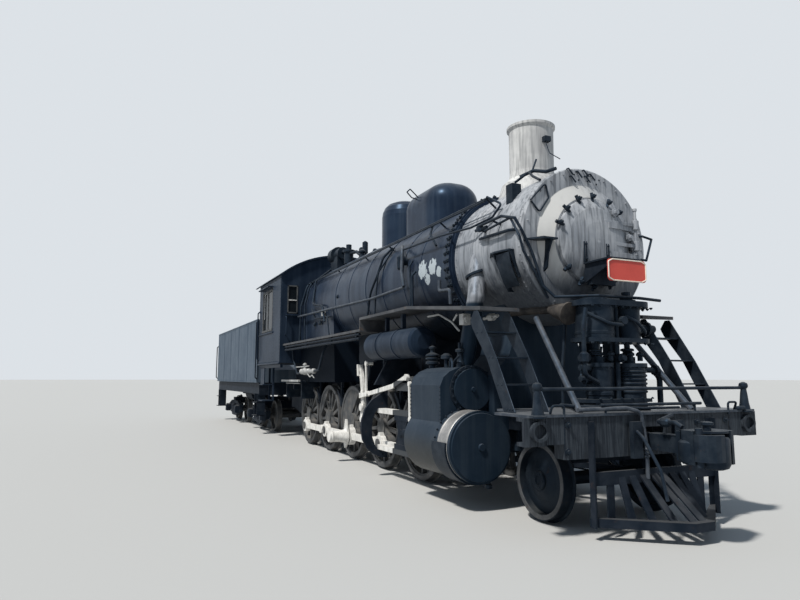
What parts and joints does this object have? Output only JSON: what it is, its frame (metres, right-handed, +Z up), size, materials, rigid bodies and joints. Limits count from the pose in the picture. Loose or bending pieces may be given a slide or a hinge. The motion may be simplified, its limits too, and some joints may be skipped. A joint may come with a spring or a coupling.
{
  "type": "steam locomotive",
  "caption": "Ten-coupled steam locomotive with outside cylinders, small pilot truck and a tender on two trucks, turning wheels, rods and doors.",
  "frame": {"origin": "on the floor under the flanges, midway between the two couplers' pulling faces, on the centre line", "axes": "+X to the front of the engine, +Y to its left, +Z up"},
  "size_m": [20.46, 3.08, 4.832],
  "materials": {
    "black_paint": "semi-gloss, weathered",
    "graphite": "matt silver grey with streaks",
    "white_paint": "chalky",
    "wheel": "dusty dark grey",
    "beam_wood": "weathered black planks",
    "plate_red": "enamel",
    "tender_paint": "faded black",
    "bare_steel": "dull"
  },
  "bodies": {
    "engine": {"main_frame": "black_paint", "axle_boxes": "black_paint", "cylinder_left": "black_paint", "cylinder_right": "black_paint", "smokebox": "graphite", "smokebox_front": "graphite", "door_hinges": "graphite", "stack": "graphite", "boiler": "black_paint", "ash_pan": "black_paint", "sand_dome": "black_paint", "steam_dome": "black_paint", "boiler_valves": "black_paint", "generator": "black_paint", "running_boards": "black_paint", "front_ladders": "black_paint", "air_reservoirs": "black_paint", "cooling_pipes": "black_paint", "hand_rails": "black_paint", "front_beam": "beam_wood", "front_deck": "black_paint", "front_coupler": "black_paint", "pilot": "black_paint", "air_pump": "black_paint", "smokebox_braces": "black_paint", "front_rail": "black_paint", "guide_yoke": "black_paint", "crosshead_guides": "white_paint", "valve_gear": "white_paint", "link_brackets": "black_paint", "cab_roof": "black_paint", "cab_front": "black_paint", "cab_side_left": "black_paint", "cab_side_right": "black_paint", "cab_floor": "black_paint"},
    "smokebox_door": {"smokebox_door": "graphite", "lamp_shelf": "graphite", "number_plate": "plate_red"},
    "pilot_truck": {"pilot_truck_frame": "black_paint"},
    "pilot_wheels": {"pilot_wheelset": "wheel"},
    "rod_right": {"side_rod_right": "white_paint"},
    "rod_left": {"side_rod_left": "white_paint"},
    "crosshead_right": {"crosshead_right": "bare_steel"},
    "crosshead_left": {"crosshead_left": "bare_steel"},
    "tender": {"tender_tank": "tender_paint", "tender_frame": "tender_paint", "drawbar": "black_paint", "rear_coupler": "tender_paint"},
    "tender_hatch": {"tender_hatch": "tender_paint"},
    "truck_front": {"tender_truck_front": "tender_paint"},
    "truck_rear": {"tender_truck_rear": "tender_paint"},
    "driver_1": {"driver_wheelset_1": "wheel"},
    "driver_2": {"driver_wheelset_2": "wheel"},
    "driver_3": {"driver_wheelset_3": "wheel"},
    "driver_4": {"driver_wheelset_4": "wheel"},
    "driver_5": {"driver_wheelset_5": "wheel"},
    "truck_front_wheels_a": {"tender_wheelset_front_a": "wheel"},
    "truck_front_wheels_b": {"tender_wheelset_front_b": "wheel"},
    "truck_rear_wheels_a": {"tender_wheelset_rear_a": "wheel"},
    "truck_rear_wheels_b": {"tender_wheelset_rear_b": "wheel"}
  },
  "joints": [
    {"name": "driver_3_spin", "type": "hinge", "parent": "engine", "child": "driver_3", "pos_m": [2.98, 0, 0.688], "axis": [0, 1, 0], "continuous": true},
    {"name": "driver_1_spin", "type": "hinge", "parent": "engine", "child": "driver_1", "pos_m": [5.8248, 0, 0.688], "axis": [0, 1, 0], "continuous": true},
    {"name": "driver_2_spin", "type": "hinge", "parent": "engine", "child": "driver_2", "pos_m": [4.4024, 0, 0.688], "axis": [0, 1, 0], "continuous": true},
    {"name": "driver_4_spin", "type": "hinge", "parent": "engine", "child": "driver_4", "pos_m": [1.5576, 0, 0.688], "axis": [0, 1, 0], "continuous": true},
    {"name": "driver_5_spin", "type": "hinge", "parent": "engine", "child": "driver_5", "pos_m": [0.1352, 0, 0.688], "axis": [0, 1, 0], "continuous": true},
    {"name": "side_rod_right_turn", "type": "hinge", "parent": "driver_3", "child": "rod_right", "pos_m": [3.2422, -0.95, 0.4478], "axis": [0, 1, 0], "continuous": true},
    {"name": "crosshead_right_slide", "type": "slide", "parent": "engine", "child": "crosshead_right", "axis": [1, 0, 0], "range_m": [-0.355, 0.355]},
    {"name": "side_rod_left_turn", "type": "hinge", "parent": "driver_3", "child": "rod_left", "pos_m": [3.2202, 0.95, 0.9502], "axis": [0, 1, 0], "continuous": true},
    {"name": "crosshead_left_slide", "type": "slide", "parent": "engine", "child": "crosshead_left", "axis": [1, 0, 0], "range_m": [-0.355, 0.355]},
    {"name": "pilot_truck_swivel", "type": "hinge", "parent": "engine", "child": "pilot_truck", "pos_m": [7.23, 0, 0.428], "axis": [0, 0, 1], "range_deg": [-3.5, 3.5]},
    {"name": "pilot_wheels_spin", "type": "hinge", "parent": "pilot_truck", "child": "pilot_wheels", "pos_m": [8.636, 0, 0.432], "axis": [0, 1, 0], "continuous": true},
    {"name": "smokebox_door_hinge", "type": "hinge", "parent": "engine", "child": "smokebox_door", "pos_m": [8.707, 0.56, 3.045], "axis": [0, 0, 1], "range_deg": [0, 95]},
    {"name": "tender_drawbar_turn", "type": "hinge", "parent": "engine", "child": "tender", "pos_m": [-2.17, 0, 0.868], "axis": [0, 0, 1], "range_deg": [-5, 5]},
    {"name": "tender_hatch_hinge", "type": "hinge", "parent": "tender", "child": "tender_hatch", "pos_m": [-8.72, 0, 3.085], "axis": [0, -1, 0], "range_deg": [0, 100]},
    {"name": "tender_truck_front_swivel", "type": "hinge", "parent": "tender", "child": "truck_front", "pos_m": [-4.18, 0, 0.928], "axis": [0, 0, 1], "range_deg": [-7, 7]},
    {"name": "tender_wheels_front_a_spin", "type": "hinge", "parent": "truck_front", "child": "truck_front_wheels_a", "pos_m": [-3.342, 0, 0.447], "axis": [0, 1, 0], "continuous": true},
    {"name": "tender_wheels_front_b_spin", "type": "hinge", "parent": "truck_front", "child": "truck_front_wheels_b", "pos_m": [-5.018, 0, 0.447], "axis": [0, 1, 0], "continuous": true},
    {"name": "tender_truck_rear_swivel", "type": "hinge", "parent": "tender", "child": "truck_rear", "pos_m": [-8.18, 0, 0.928], "axis": [0, 0, 1], "range_deg": [-7, 7]},
    {"name": "tender_wheels_rear_a_spin", "type": "hinge", "parent": "truck_rear", "child": "truck_rear_wheels_a", "pos_m": [-7.342, 0, 0.447], "axis": [0, 1, 0], "continuous": true},
    {"name": "tender_wheels_rear_b_spin", "type": "hinge", "parent": "truck_rear", "child": "truck_rear_wheels_b", "pos_m": [-9.018, 0, 0.447], "axis": [0, 1, 0], "continuous": true}
  ],
  "couplings": [
    {"joint": "driver_1_spin", "follows": "driver_3_spin", "ratio": 1},
    {"joint": "driver_2_spin", "follows": "driver_3_spin", "ratio": 1},
    {"joint": "driver_4_spin", "follows": "driver_3_spin", "ratio": 1},
    {"joint": "driver_5_spin", "follows": "driver_3_spin", "ratio": 1},
    {"joint": "side_rod_right_turn", "follows": "driver_3_spin", "ratio": -1},
    {"joint": "side_rod_left_turn", "follows": "driver_3_spin", "ratio": -1}
  ]
}
